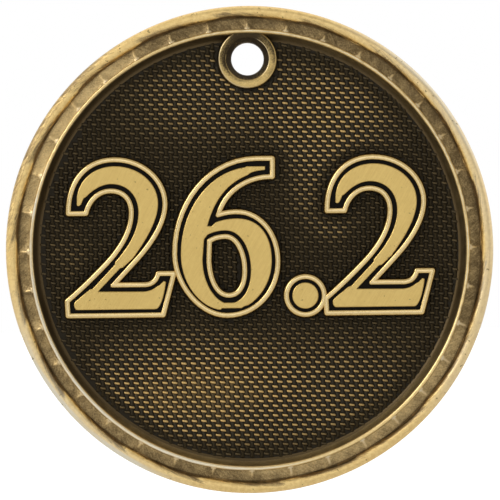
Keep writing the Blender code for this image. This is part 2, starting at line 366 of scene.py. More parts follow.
def merge_near(bm, near=1e-6, shortest=0.5e-6):
    """Merges points that lie together, and takes out the faces that this leaves without an area."""
    bmesh.ops.remove_doubles(bm, verts=bm.verts, dist=near)
    bmesh.ops.dissolve_degenerate(bm, edges=bm.edges, dist=shortest)


def face_outwards(mesh):
    """Merges the points of a ring that meet, and turns its faces outwards."""
    bm = bmesh.new()
    bm.from_mesh(mesh)
    merge_near(bm, near=0.4e-6, shortest=0.2e-6)
    bmesh.ops.recalc_face_normals(bm, faces=bm.faces)
    bm.to_mesh(mesh)
    bm.free()


def ring_faces(columns, rows):
    """Quads of a closed ring of closed sections, whose points are numbered section by section."""
    i, j = np.meshgrid(np.arange(columns), np.arange(rows), indexing="ij")
    here, there = i * rows, (i + 1) % columns * rows
    k = (j + 1) % rows
    return np.stack([here + j, here + k, there + k, there + j], -1).reshape(-1, 4)


def around(columns):
    """Angles round the medal, clockwise from the top, one to a section of a ring."""
    return np.linspace(0, 2 * math.pi, columns, endpoint=False)[:, None]


def within_repeat(theta, count, start=0.0):
    """How far along its own repeat each angle is, from 0 to 1, with count repeats in a turn."""
    return ((theta - start) * count / (2 * math.pi)) % 1.0


def with_rows(values, numbers):
    """The values of a ring's sections with further rows, each the same all the way round."""
    return np.hstack([values] + [np.full((len(values), 1), number) for number in numbers])


def ring_mesh(name, x, y, height, marks):
    """A ring of closed sections from arrays of x, y and height, one row to a section."""
    points = np.stack(np.broadcast_arrays(x, y, height), -1)
    shape = points.shape[:2]
    mesh = bpy.data.meshes.new(name)
    mesh.from_pydata(points.reshape(-1, 3).tolist(), [], ring_faces(*shape).tolist())
    set_marks(mesh, {key: np.broadcast_to(value, shape).ravel() for key, value in marks.items()})
    face_outwards(mesh)
    return mesh


def add_skin(bm, levels, layers):
    """Quads between each pair of following loops. levels is a list of (points, height, marks)."""
    rows = []
    for points, height, marks in levels:
        row = [bm.verts.new((x, y, height)) for x, y in points]
        for vert in row:
            for key, value in marks.items():
                vert[layers[key]] = value
        rows.append(row)
    for under, over in zip(rows, rows[1:]):
        for i in range(len(under)):
            bm.faces.new((under[i - 1], under[i], over[i], over[i - 1]))


def new_bmesh():
    """An empty bmesh and its layers for the two marks that every material reads."""
    bm = bmesh.new()
    layers = {key: bm.verts.layers.float.new(key) for key in ("rub_and_shading", "pale")}
    return bm, layers


def mesh_from(bm, name):
    """Turns a bmesh's faces outwards and makes a mesh of it."""
    bmesh.ops.recalc_face_normals(bm, faces=bm.faces)
    mesh = bpy.data.meshes.new(name)
    bm.to_mesh(mesh)
    bm.free()
    return mesh


def stacked(name, outlines):
    """A solid of loops stacked one over the other. The first and last loops are capped.

    outlines is a list of level lists, each for one outline or hole.
    """
    bm, layers = new_bmesh()
    for levels in outlines:
        add_skin(bm, levels, layers)
    merge_near(bm)
    for _end in range(2):
        edges = [e for e in bm.edges if e.is_boundary]
        if not edges:
            break
        height = min(e.verts[0].co.z for e in edges)
        level = [e for e in edges if abs(e.verts[0].co.z - height) < 1e-7]
        bmesh.ops.triangle_fill(bm, edges=level, use_beauty=True)
    return mesh_from(bm, name)


# ---------------------------------------------------------------- materials


class Nodes:
    """Short calls for a material's node tree."""

    def __init__(self, name):
        self.material = bpy.data.materials.new(name)
        self.material.use_nodes = True
        self.tree = self.material.node_tree
        self.shader = self.tree.nodes["Principled BSDF"]
        self.place = self.add("ShaderNodeTexCoord").outputs["Object"]

    def add(self, kind, **settings):
        node = self.tree.nodes.new(kind)
        for key, value in settings.items():
            setattr(node, key, value)
        return node

    def join(self, source, socket):
        if isinstance(source, bpy.types.NodeSocket):
            self.tree.links.new(source, socket)
        else:
            socket.default_value = source

    def math(self, operation, a, b):
        node = self.add("ShaderNodeMath", operation=operation)
        self.join(a, node.inputs[0])
        self.join(b, node.inputs[1])
        return node.outputs[0]

    def range(self, value, low, high, to_low=0.0, to_high=1.0):
        """A smooth step from to_low, where the value is low, to to_high, where it is high."""
        node = self.add("ShaderNodeMapRange", interpolation_type="SMOOTHSTEP")
        self.join(value, node.inputs["Value"])
        ends = {"From Min": low, "From Max": high, "To Min": to_low, "To Max": to_high}
        for key, number in ends.items():
            self.join(number, node.inputs[key])
        return node.outputs["Result"]

    def mark(self, name):
        return self.add("ShaderNodeAttribute", attribute_name=name).outputs["Fac"]

    def stretched(self, across, along, turn):
        """The place on the piece, stretched by a factor each way and then turned."""
        mapping = self.add("ShaderNodeMapping", vector_type="TEXTURE")
        mapping.inputs["Rotation"].default_value = (0, 0, turn)
        mapping.inputs["Scale"].default_value = (across, along, 1.0)
        self.join(self.place, mapping.inputs["Vector"])
        return mapping.outputs["Vector"]

    def drawn_out(self, length):
        """A place for streaks: the length across them, and far slower changes along them."""
        spot = self.add("ShaderNodeSeparateXYZ")
        self.join(self.place, spot.inputs[0])
        drawn = self.add("ShaderNodeCombineXYZ")
        self.join(length, drawn.inputs["X"])
        self.join(self.math("MULTIPLY", spot.outputs["X"], STREAK_STRETCH), drawn.inputs["Y"])
        self.join(self.math("MULTIPLY", spot.outputs["Y"], STREAK_STRETCH), drawn.inputs["Z"])
        return drawn.outputs[0]

    def noise(self, scale, detail=3.0, roughness=0.55, place=None):
        """Noise with about that many features in a metre."""
        node = self.add("ShaderNodeTexNoise")
        self.join(self.place if place is None else place, node.inputs["Vector"])
        node.inputs["Scale"].default_value = scale
        node.inputs["Detail"].default_value = detail
        node.inputs["Roughness"].default_value = roughness
        return node.outputs["Fac"]

    def mix(self, share, a, b):
        """Colour a where the share is 0 and b where it is 1."""
        node = self.add("ShaderNodeMix", data_type="RGBA")
        self.join(share, node.inputs["Factor"])
        for colour, key in ((a, "A"), (b, "B")):
            socket = [s for s in node.inputs if s.name == key and s.type == "RGBA"][0]
            self.join((*colour, 1.0) if isinstance(colour, tuple) else colour, socket)
        return [s for s in node.outputs if s.type == "RGBA"][0]

    def bump(self, height, distance):
        node = self.add("ShaderNodeBump")
        node.inputs["Distance"].default_value = distance
        self.join(height, node.inputs["Height"])
        return node.outputs["Normal"]


def antique_metal(name, gold, patina, gloss=0.3, dull=0.6, grain=14000, grain_depth=4e-6,
                  worn=(0.35, 0.75), breakup=0.35, scratches=0.0, mottle=0.5, coat=0.1,
                  streaks=0.0, pits=0.0, fringe=None):
    """Gold plate under a dark patina that shows through where the rubbing-and-shading mark is
    high. That mark is wear, and also painted highlights and painted shade on the sides of a ring
    where light falls.

    Below 0 the mark stands for a deep hollow, and the patina darkens. The mark pale takes the
    plate on to a pale colour: pale worn edges, and also painted reflections and painted
    highlights. Streaks follow the mark strand, a length. A fringe is the colour of the plate
    where it has only begun to show.
    """
    n = Nodes(name)
    blotch = n.noise(BLOTCH_SCALE, 4.0)
    fine = n.noise(grain, 2.0, 0.6)
    spread = n.math("MULTIPLY", n.math("SUBTRACT", blotch, 0.5), breakup)
    speck = n.math("MULTIPLY", n.math("SUBTRACT", fine, 0.5), breakup)
    level = n.math("ADD", n.math("ADD", n.mark("rub_and_shading"), spread), speck)
    height = fine
    if streaks:
        lines = n.noise(STREAK_SCALE, 3.0, 0.5, place=n.drawn_out(n.mark("strand")))
        run = n.math("SUBTRACT", lines, 0.5)
        level = n.math("ADD", level, n.math("MULTIPLY", run, streaks))
        height = n.math("ADD", height, n.math("MULTIPLY", run, 1.5))
    # rubbed is the share of plate shown: wear, together with the painted highlights and painted shade that
    # the mark carries.
    rubbed = n.range(level, *worn)
    dim_gold = tuple(c * f for c, f in zip(gold, DIMMED))
    dimmed = n.math("MULTIPLY", n.range(n.noise(MOTTLE_SCALE, 3.0), 0.35, 0.65), mottle)
    plate = n.mix(dimmed, gold, dim_gold)
    if fringe:
        plate = n.mix(n.range(level, 0.42, 0.94), fringe, plate)
    colour = n.mix(rubbed, patina, plate)
    hollow = n.range(level, -0.6, 0.0, 0.85, 0.0)
    colour = n.mix(hollow, colour, tuple(c * 0.05 for c in gold))
    colour = n.mix(n.mark("pale"), colour, PALE_WEAR_AND_SHEEN)
    if scratches:
        slanted = n.stretched(0.03, 1.0, math.radians(-30))
        lines = n.range(n.noise(SCRATCH_SCALE, 3.0, 0.75, place=slanted), 0.42, 0.62)
        height = n.math("ADD", fine, n.math("MULTIPLY", lines, scratches))
        colour = n.mix(n.math("MULTIPLY", lines, 0.4), colour, dim_gold)
    if pits:
        pit = n.range(n.noise(PIT_SCALE, 1.0), 0.70, 0.76, 0.0, pits)
        colour = n.mix(pit, colour, tuple(c * 0.2 for c in gold))
    n.join(colour, n.shader.inputs["Base Color"])
    uneven = n.math("MULTIPLY", n.math("SUBTRACT", blotch, 0.5), 0.15)
    rough = n.math("ADD", n.range(rubbed, 0.0, 1.0, dull, gloss), uneven)
    n.join(rough, n.shader.inputs["Roughness"])
    n.shader.inputs["Metallic"].default_value = 1.0
    n.shader.inputs["Coat Weight"].default_value = coat
    n.shader.inputs["Coat Roughness"].default_value = COAT_ROUGHNESS
    n.join(n.bump(height, grain_depth), n.shader.inputs["Normal"])
    return n.material


# ---------------------------------------------------------------- the ring pieces


def add_rim():
    """The rope edge. Each strand ends in a slanted step, and the next starts in a brown facet."""
    crest = RADIUS - 0.6 * MM
    crest_half = 0.605 * MM
    crest_rise = 0.57 * MM
    foot = THICKNESS - 0.58 * MM
    groove = RADIUS - 1.17 * MM
    facet_depth = 0.10 * MM
    wall_rub = 0.75
    # Painted reflection: the walls carry a little of the pale colour.
    wall_pale = 0.15
    offsets = MM * np.array([
        0.0, 0.03, 0.08, 0.15, 0.23, 0.32, 0.42, 0.52, 0.62,
        0.72, 0.82, 0.91, 0.99, 1.06, 1.12, 1.16, 1.19, 1.2,
    ])
    theta = around(LOBES * 44)
    lobe = np.floor((theta - LOBE_START) * LOBES / (2 * math.pi))
    u = within_repeat(theta, LOBES, LOBE_START)
    sway = 0.15 * MM * np.cos(2 * math.pi * (u - 0.2)) + 0.015 * MM * ripple(theta * 31)
    r = groove + offsets + sway * (1 - smooth(0.0, 0.5 * MM, offsets))
    slant = 0.17 * np.clip((RADIUS - 0.42 * MM - r) / (0.8 * MM), 0, 1)
    angle = theta + slant * 2 * math.pi / LOBES
    turn = np.degrees(angle) % 360

    bead = np.abs((r - crest) / crest_half)
    height = foot + crest_rise * np.sqrt(np.clip(1 - bead**2.4, 0, 1))
    facet_edge = RADIUS - 0.40 * MM - 0.60 * MM * np.clip(slant + u, 0, 1.1) ** 1.6
    facet_edge = facet_edge + 0.03 * MM * ripple(theta * 23, theta * 61)
    below = np.clip(facet_edge - r, 0, None)
    cut = smooth(-0.02, 0.08, u) * (1 - smooth(0.6, 1.0, u))
    height = height - np.minimum(0.26 * below, facet_depth) * cut
    height = height + 0.008 * MM * ripple(angle * 57, r * 5200 + theta * 40)

    # The facets are brown patina in their hollows, with painted shade: darker at the lower left and lighter
    # on the right.
    facet_patina_and_shade = 1 - 0.22 * part_of_turn(turn, 5, 20, 135, 175) + 0.14 * part_of_turn(turn, 175, 195, 250, 275)
    facet_patina_and_shade = facet_patina_and_shade * (0.86 + 0.14 * np.sin(2.4 * lobe)) * smooth(-0.03, 0.10, u)
    facet = smooth(-0.05 * MM, 0.30 * MM, below) * (1 - 0.7 * smooth(0.5, 1.0, u))
    in_groove = 1 - smooth(0.02 * MM, 0.13 * MM, r - groove - sway)
    past_crest = smooth(RADIUS - 0.6 * MM, RADIUS - 0.35 * MM, r)
    before_crest = 1 - smooth(RADIUS - 1.0 * MM, RADIUS - 0.7 * MM, r)
    rub_and_shading = 1.10 - 0.76 * facet * facet_patina_and_shade - 0.65 * in_groove
    rub_and_shading = rub_and_shading + 0.08 * ripple(angle * 83, r * 9000 - theta * 50)
    # Painted shade: the outer slope darker at the upper left and the inner slope darker at the lower right.
    rub_and_shading = rub_and_shading - 0.56 * part_of_turn(turn, 255, 290, 318, 338) * past_crest
    rub_and_shading = rub_and_shading - 0.62 * part_of_turn(turn, 92, 108, 160, 190) * before_crest

    # Painted reflection: pale grey on the outer edge at the lower left and upper right, and a light pale
    # sheen over the whole crest, stronger on the right and the lower left, patchy.
    patchy = np.clip(0.75 + 0.45 * ripple(theta * 9 + r * 2500, theta * 17 - r * 4000), 0, 1)
    outside = smooth(RADIUS - 0.55 * MM, RADIUS - 0.22 * MM, r)
    painted_edge_reflection = part_of_turn(turn, 192, 212, 235, 255) + 0.5 * part_of_turn(turn, 20, 32, 60, 80)
    painted_crest_sheen = 0.32 * part_of_turn(turn, 10, 60, 118, 140) + 0.33 * part_of_turn(turn, 185, 235, 245, 268)
    overall = (0.08 + painted_crest_sheen) * (0.55 + 0.45 * patchy) * (1 - before_crest)
    pale = np.clip(outside * painted_edge_reflection * patchy + overall, 0, 1)

    rest = [  # radius and height, down the outer wall, round to the back and up the inner wall
        (RADIUS, THICKNESS - 0.9 * MM),
        (RADIUS, 0.35 * MM),
        (RADIUS - 0.03 * MM, 0.2 * MM),
        (RADIUS - 0.1 * MM, 0.08 * MM),
        (RADIUS - 0.22 * MM, 0.0),
        (BAND_OUTER + 0.12 * MM, 0.0),
        (BAND_OUTER + 0.02 * MM, 0.06 * MM),
        (BAND_OUTER - 0.04 * MM, BACK_RECESS + 0.1 * MM),
        (BAND_OUTER - 0.04 * MM, THICKNESS - 0.9 * MM),
    ]
    r = with_rows(r, [p[0] for p in rest])
    height = with_rows(height, [p[1] for p in rest])
    angle = np.hstack([angle] + [theta] * len(rest))
    marks = {
        "rub_and_shading": with_rows(rub_and_shading, [wall_rub] * len(rest)),
        "pale": with_rows(pale, [wall_pale] * len(rest)),
        "strand": r + 3.0 * MM * u,
    }
    mesh = ring_mesh("rope_edge", r * np.sin(angle), r * np.cos(angle), height, marks)
    metal = antique_metal("rim_gold", (0.98, 0.71, 0.28), (0.22, 0.135, 0.05), gloss=0.43, dull=0.5,
                          grain=9000, grain_depth=5e-6, worn=(0.1, 1.0), breakup=0.6, streaks=1.3,
                          mottle=0.7, pits=0.7)
    return finish_piece("rope_edge", mesh, metal, ["outer_rim"], 50)


def add_band():
    """Wide shallow flutes with sharp ridges between them, rounded off at their inner ends."""
    inner = LIP_OUTER - 0.03 * MM
    outer = BAND_OUTER + 0.12 * MM
    underside = THICKNESS - 1.3 * MM
    under_rub = 0.3
    radii = np.concatenate([np.linspace(inner, LIP_OUTER + 0.5 * MM, 12),
                            np.linspace(LIP_OUTER + 0.6 * MM, outer, 7)])
    theta = around(FLUTES * 24)
    r = np.tile(radii, (len(theta), 1))
    along = within_repeat(theta, FLUTES)
    across = np.abs(2 * along - 1)
    out = (r - LIP_OUTER) / (BAND_OUTER - LIP_OUTER)
    width = 1 - 0.14 * np.clip(1 - out / 0.62, 0, 1) ** 3.4
    scoop = np.clip(1 - (across / width) ** 3, 0, 1)
    top = LIP_TOP - 0.07 * MM - 0.33 * MM * out
    height = top - (0.33 - 0.18 * out) * MM * scoop + 0.006 * MM * ripple(theta * 150, r * 8000)

    turn = np.degrees(theta) % 360
    # The ridges are rubbed light, and drawn light further out at the upper left and lower right as painted
    # highlight.
    upper_left = part_of_turn(turn, 240, 262, 345, 358)
    lower_right = part_of_turn(turn, 98, 110, 168, 184)
    tall = np.maximum(upper_left, lower_right)
    ridge = smooth(0.95, 1.0, across / width)
    ridge = ridge * (1 - smooth(0.25 + 0.15 * tall, 0.75 + 0.2 * tall, out))
    fang = smooth(0.97, 1.0, across / width) * (1 - smooth(0.05, 0.4, out))
    # Painted highlights: the flutes lighter at the upper left, the lower right and the bottom, more so near
    # the lip.
    bright = 0.42 * part_of_turn(turn, 272, 292, 318, 338) * (1.1 - 0.5 * along)
    bright = bright + 0.26 * part_of_turn(turn, 105, 118, 165, 195)
    bright = bright + 0.10 * part_of_turn(turn, 180, 200, 320, 340) + 0.25 * bright * (1 - out)
    rub_and_shading = 0.30 + bright + 0.12 * (0.5 - out) + 0.80 * ridge - 0.5 * smooth(0.88, 1.0, out)

    marks = {
        "rub_and_shading": with_rows(rub_and_shading, [under_rub, under_rub]),
        # Painted highlight: pale tips of the ridges at the lip, and pale ridges at the lower right.
        "pale": with_rows(0.28 * fang + 0.22 * lower_right * ridge, [0.0, 0.0]),
        "strand": with_rows(r + 4.0 * MM * along, [0.0, 0.0]),
    }
    r = with_rows(r, [outer, inner])
    height = with_rows(height, [underside, underside])
    mesh = ring_mesh("fluted_ring", r * np.sin(theta), r * np.cos(theta), height, marks)
    metal = antique_metal("band_bronze", (0.74, 0.54, 0.25), (0.13, 0.086, 0.036), gloss=0.4, dull=0.5,
                          grain=6500, grain_depth=1.2e-5, worn=(0.0, 1.1), breakup=0.8, streaks=0.5)
    return finish_piece("fluted_ring", mesh, metal, ["fluted_band"], 30)


def add_lip():
    """A thin polished crest over a dark wall that slopes down to the field."""
    crest_at = -0.15
    section = [  # radius from the lip's outer face and height from its top, millimetres, then rub
        (0.05, -0.9, 0.5), (0.05, -0.16, 0.8), (0.01, -0.07, 1.0), (-0.06, -0.02, 1.0),
        (crest_at, 0.0, 1.0), (-0.27, -0.03, 1.0), (-0.35, -0.08, 0.95), (-0.40, -0.15, 0.62),
        (-0.45, -0.24, 0.45), (-0.50, -0.34, 0.12), (-0.70, -0.74, 0.08), (-0.90, -1.0, 0.0),
        (-1.05, -1.15, 0.0), (-1.2, -1.20, 0.0), (-1.2, -1.5, 0.0),
    ]
    inset, drop, rub_and_shading = np.array(section).T
    on_crest = (inset > -0.4) & (inset < 0.02)
    on_outer_edge = inset > -0.2
    beside_crest = (inset > -0.32) & (inset < -0.03)
    on_wall = (inset > -0.95) & (inset < -0.4)
    theta = around(540)
    turn = np.degrees(theta) % 360
    thin = 1 - smooth(105, 130, turn) * (1 - smooth(250, 290, turn))
    wave = 0.016 * MM * ripple(theta * 41, theta * 97)
    ragged = 0.03 * MM * ripple(theta * 53, theta * 131)
    r = LIP_OUTER + inset * MM + wave * on_crest - (0.07 * MM - ragged) * thin * on_outer_edge

    # The pale crest is polished pale metal with a painted reflection: golden at the lower right and the
    # upper left, wider from the bottom round to the left, patchy.
    golden = part_of_turn(turn, 105, 125, 150, 180) + 0.9 * part_of_turn(turn, 285, 300, 335, 350)
    broad = part_of_turn(turn, 170, 190, 280, 300)
    crest = np.where(inset == crest_at, 1.0, broad * beside_crest)
    patchy = np.clip(0.85 - 0.25 * thin + (0.35 + 0.35 * thin) * ripple(theta * 13, theta * 37), 0, 1)
    pale = crest * np.clip(0.95 - golden, 0, 1) * patchy
    # Painted light: the wall lighter at the bottom and on the right, where it faces the light.
    low_side = part_of_turn(turn, 85, 140, 200, 250)
    right_side = part_of_turn((turn + 40) % 360 - 40, -20, 10, 80, 115)
    rub_and_shading = rub_and_shading + 0.36 * on_wall * (low_side + 0.5 * right_side)
    height = LIP_TOP + drop * MM
    marks = {"rub_and_shading": rub_and_shading, "pale": pale}
    mesh = ring_mesh("inner_crest", r * np.sin(theta), r * np.cos(theta), height, marks)
    metal = antique_metal("lip_metal", (0.93, 0.70, 0.32), (0.122, 0.083, 0.037), gloss=0.33, dull=0.5,
                          grain=12000, grain_depth=3e-6, worn=(0.1, 0.9), breakup=0.2)
    return finish_piece("inner_crest", mesh, metal, ["inner_lip"], 45)


def add_eyelet():
    """A collar round the ribbon hole, countersunk at the front, with every edge rounded."""
    half_way_up = 2.0 * MM
    outer_edge, outer_land, inner_land, sink_edge = 11, 12, 13, 14  # rows of the section
    section = [  # radius, height, rub
        (HOLE_RADIUS, 0.42 * MM, 0.5),
        (HOLE_RADIUS + 0.10 * MM, 0.22 * MM, 0.7),
        (HOLE_RADIUS + 0.36 * MM, 0.02 * MM, 0.9),
        (HOLE_RADIUS + 0.46 * MM, 0.0, 0.9),
        (EYELET_RADIUS - 0.10 * MM, 0.0, 0.9),
        (EYELET_RADIUS - 0.03 * MM, 0.03 * MM, 0.9),
        (EYELET_RADIUS, 0.10 * MM, 0.7),
        (EYELET_RADIUS + 0.10 * MM, GROUND_TOP, 0.0),
        (EYELET_RADIUS + 0.02 * MM, GROUND_TOP + 0.14 * MM, 0.1),
        (EYELET_RADIUS - 0.01 * MM, EYELET_TOP - 0.30 * MM, 0.25),
        (EYELET_RADIUS - 0.04 * MM, EYELET_TOP - 0.12 * MM, 0.8),
        (EYELET_RADIUS - 0.10 * MM, EYELET_TOP - 0.03 * MM, 1.15),
        (EYELET_RADIUS - 0.20 * MM, EYELET_TOP, 0.6),
        (SINK_RADIUS + 0.12 * MM, EYELET_TOP, 0.5),
        (SINK_RADIUS + 0.06 * MM, EYELET_TOP - 0.02 * MM, 0.75),
        (SINK_RADIUS, EYELET_TOP - 0.08 * MM, 0.35),
        (SINK_RADIUS - 0.10 * MM, EYELET_TOP - 0.25 * MM, 0.0),
        (HOLE_RADIUS + 0.12 * MM, EYELET_TOP - 0.62 * MM, 0.0),
        (HOLE_RADIUS + 0.02 * MM, EYELET_TOP - 0.78 * MM, 0.1),
        (HOLE_RADIUS, EYELET_TOP - 0.95 * MM, 0.2),
    ]
    r, height, rub_and_shading = np.array(section).T
    row = np.arange(len(section))
    theta = around(160)
    turn = np.degrees(theta)
    x = HOLE_CENTRE[0] + r * np.sin(theta)
    y = HOLE_CENTRE[1] + r * np.cos(theta)
    # The collar stops short of the lip's crest, where the two run together.
    limit = LIP_OUTER - 0.27 * MM
    far = np.hypot(x, y)
    squeeze = np.where(far > limit, limit / far, 1.0)

    # The top of the collar is darker towards the upper left and lighter towards the bottom.
    lower = 0.5 - 0.5 * np.cos(theta + math.radians(14))
    rub_and_shading = rub_and_shading + 0.9 * (lower - 0.74) * (height > half_way_up)
    # Painted highlights: a pale bright line on the outer edge at the left and on the countersink's edge at
    # the right, and each row of the land lighter on one side and darker on the other.
    on_left = part_of_turn(turn, 150, 200, 312, 342)
    on_right = part_of_turn(turn, 15, 45, 110, 160)
    line = (row == outer_edge) * on_left + (row == sink_edge) * on_right
    land = 1.0 * (row == outer_land) - 1.0 * (row == inner_land)
    rub_and_shading = np.maximum(rub_and_shading + 0.25 * land * (on_left - on_right), 1.1 * line)
    marks = {"rub_and_shading": rub_and_shading, "pale": 0.4 * line}
    mesh = ring_mesh("eyelet_collar", x * squeeze, y * squeeze, height, marks)
    metal = antique_metal("eyelet_gold", (0.74, 0.54, 0.21), (0.052, 0.035, 0.016), gloss=0.36, dull=0.5,
                          grain=6500, grain_depth=1.4e-5, worn=(0.0, 0.95), breakup=0.85)
    return finish_piece("eyelet_collar", mesh, metal, ["ribbon_eyelet"], 45)


def flat_plate(name, outer, low, high, rub_and_shading):
    """A flat plate with a round hole for the eyelet, which covers the hole's edge."""
    hole = circle(HOLE_CENTRE, EYELET_RADIUS - 0.12 * MM, 96)
    marks = {"rub_and_shading": rub_and_shading, "pale": 0.0}
    return stacked(name, [[(loop, low, marks), (loop, high, marks)] for loop in (outer, hole)])


def add_back():
    """The plain recessed back, which is also what the other pieces stand on."""
    outer = circle((0, 0), BAND_OUTER + 0.02 * MM, 180)
    mesh = flat_plate("back_plate", outer, BACK_RECESS, 1.2 * MM, 0.8)
    metal = antique_metal("back_gold", (0.70, 0.51, 0.20), (0.13, 0.085, 0.035), gloss=0.38, dull=0.55,
                          grain=6000, grain_depth=8e-6, breakup=0.5)
    return finish_piece("back_plate", mesh, metal, ["medal_body"])


# ---------------------------------------------------------------- the woven field


# Where handling has rubbed the weave bright: middle, reach each way (millimetres) and strength.
RUBBED = [
    (-6.0, -15.0, 12.0, 5.6, 0.95),
    (9.0, -15.5, 9.5, 6.5, 0.46),
    (-3.0, 16.2, 9.5, 4.6, 0.50),
    (8.5, 13.5, 6.5, 5.5, 0.70),
    (7.5, 7.0, 3.2, 5.0, 0.44),
    (9.0, 3.0, 2.0, 2.0, 0.40),
    (-19.0, -0.5, 2.4, 2.4, 0.14),
]
WEAVE_PITCH = 1.0 * MM
ROW_PITCH = 0.5016 * MM
FIRST_ROW = -10.83 * MM
WEAVE_LEAN = 0.0045
LEAST_SHARE = 0.12


def weave_places():
    """The middle of each weft crown. Every other row is half a pitch along, and all lean a little."""
    rows = np.arange(-30, 72)
    turns = np.arange(-24, 25)
    j, i = np.meshgrid(rows, turns, indexing="ij")
    y = FIRST_ROW + ROW_PITCH * j
    x = WEAVE_PITCH * (i + 0.5 * (j % 2)) - WEAVE_LEAN * (y - FIRST_ROW)
    places = np.stack([x.ravel(), y.ravel()], 1)
    return places[np.hypot(*places.T) < FIELD_RADIUS - 0.1 * MM]


def standing(places, loops, eye):
    """The places where the weave stands up, by how much, and how far each is from a numeral.

    The share goes from 0 to 1: the weave sinks away beside the lip, the eyelet and the numerals.
    """
    edge = FIELD_RADIUS - np.hypot(*places.T)
    eyelet = np.hypot(*(places - np.array(HOLE_CENTRE)).T) - EYELET_RADIUS
    numeral = np.min([distance_to(loop, places) for loop in loops], axis=0)
    numeral = np.maximum(numeral, -distance_to(eye, places)) - BEAD_HALF
    share = smooth(0.0, 0.9 * MM, edge) * smooth(0.15 * MM, 0.6 * MM, eyelet)
    share = share * smooth(0.22 * MM, 0.55 * MM, numeral)
    kept = share > LEAST_SHARE
    return places[kept], share[kept], numeral[kept]


def rubbed_at(places, numeral):
    """How far handling has rubbed each place bright, from 0 to 1."""
    total = np.zeros(len(places))
    for x, y, across, up, strength in RUBBED:
        far = np.hypot((places[:, 0] / MM - x) / across, (places[:, 1] / MM - y) / up)
        total = total + (1 - total) * strength * np.exp(-(far**3))
    clear = smooth(0.3 * MM, 1.8 * MM, numeral)
    rim = smooth(0.2 * MM, 2.2 * MM, FIELD_RADIUS - np.hypot(*places.T))
    return total * clear * rim


def crowns(name, places, lift, rub_and_shading, columns, rows, half, rise, bend, waist, material):
    """A small rounded crown at each place, closed underneath.

    columns and rows are the grid's lines across a crown, from -1 to 1, and half is half its size
    each way. bend draws its ends down, and waist is the width of its middle.
    """
    foot = -0.03 * MM
    a, b = np.meshgrid(columns, rows, indexing="ij")
    corners = 1 - 0.12 * np.abs(a * b) ** 2
    x = half[0] * a * corners * (waist + (1 - waist) * np.minimum(1, 4 * b**2))
    y = half[1] * b * corners - bend * np.sign(a) * np.abs(a) ** 2.5
    inner = (np.abs(a) < 0.999) & (np.abs(b) < 0.999)
    dome = np.sqrt(np.clip(1 - 0.55 * np.abs(a) ** 4 - 0.45 * np.abs(b) ** 2, 0, 1))
    z = np.where(inner, rise * dome, foot).ravel()
    top = np.where(inner, 1.0, 0.25).ravel()
    across, along = a.shape
    i, k = np.meshgrid(np.arange(across - 1), np.arange(along - 1), indexing="ij")
    first = i * along + k
    quads = np.stack([first, first + along, first + along + 1, first + 1], -1).reshape(-1, 4)
    edge = [n * along for n in range(across)]
    edge += [(across - 1) * along + n for n in range(1, along)]
    edge += [n * along + along - 1 for n in range(across - 2, -1, -1)]
    edge += [n for n in range(along - 2, 0, -1)]
    under = np.array(edge[::-1])
    many = len(places)
    points = np.empty((many, a.size, 3))
    points[..., 0] = places[:, None, 0] + x.ravel()
    points[..., 1] = places[:, None, 1] + y.ravel()
    points[..., 2] = GROUND_TOP + z * np.where(z > 0, lift[:, None], 1.0)
    shift = (np.arange(many) * a.size)[:, None, None]
    faces = (quads + shift).reshape(-1, 4).tolist() + (under + shift).reshape(many, -1).tolist()
    mesh = bpy.data.meshes.new(name)
    mesh.from_pydata(points.reshape(-1, 3).tolist(), [], faces)
    rub_and_shading = rub_and_shading[:, None] * np.where(rub_and_shading[:, None] > 0, top, 1.0)
    set_marks(mesh, {"rub_and_shading": rub_and_shading.ravel(), "pale": np.zeros(rub_and_shading.size)})
    return finish_piece(name, mesh, material, smooth_below=75)


def add_weave(loops, eye):
    """The sunken ground, the bright crowns of the wefts and the dark crowns of the warps."""
    rng = np.random.default_rng(262)
    ground = antique_metal("field_ground", (0.30, 0.22, 0.10), (0.036, 0.030, 0.021), gloss=0.5, dull=0.6,
                           grain=8000, grain_depth=8e-6, worn=(0.4, 1.0), breakup=0.4, coat=0.0)
    outer = circle((0, 0), LIP_OUTER - 0.49 * MM, 180)
    mesh = flat_plate("weave_ground", outer, 1.0 * MM, GROUND_TOP, 0.0)
    finish_piece("weave_ground", mesh, ground, ["weave_field"])
    thread = antique_metal("thread_gold", (0.73, 0.50, 0.20), (0.048, 0.040, 0.027), gloss=0.36, dull=0.5,
                           grain=12000, grain_depth=6e-6, worn=(0.0, 0.9), breakup=0.3, coat=0.0)
    wefts = weave_places()
    places, share, numeral = standing(wefts, loops, eye)
    rub_and_shading = rubbed_at(places, numeral) * rng.uniform(0.85, 1.1, len(places))
    lift = (0.35 + 0.65 * share) * rng.uniform(0.92, 1.05, len(places))
    crowns("weft_crowns", places, lift, 0.15 + 0.83 * rub_and_shading,
           columns=[-1, -0.88, -0.5, 0, 0.5, 0.88, 1], rows=[-1, -0.74, 0, 0.74, 1],
           half=(0.315 * MM, 0.143 * MM), rise=0.20 * MM, bend=0.065 * MM, waist=1.0, material=thread)
    warps = wefts + np.array([0.5 * WEAVE_PITCH, 0.0])
    places, share, numeral = standing(warps, loops, eye)
    crowns("warp_crowns", places, 0.35 + 0.65 * share, -0.42 + 0.62 * rubbed_at(places, numeral),
           columns=[-1, -0.7, 0, 0.7, 1], rows=[-1, -0.82, -0.45, 0, 0.45, 0.82, 1],
           half=(0.265 * MM, 0.42 * MM), rise=0.10 * MM, bend=0.0, waist=0.45, material=thread)


# ---------------------------------------------------------------- the numerals


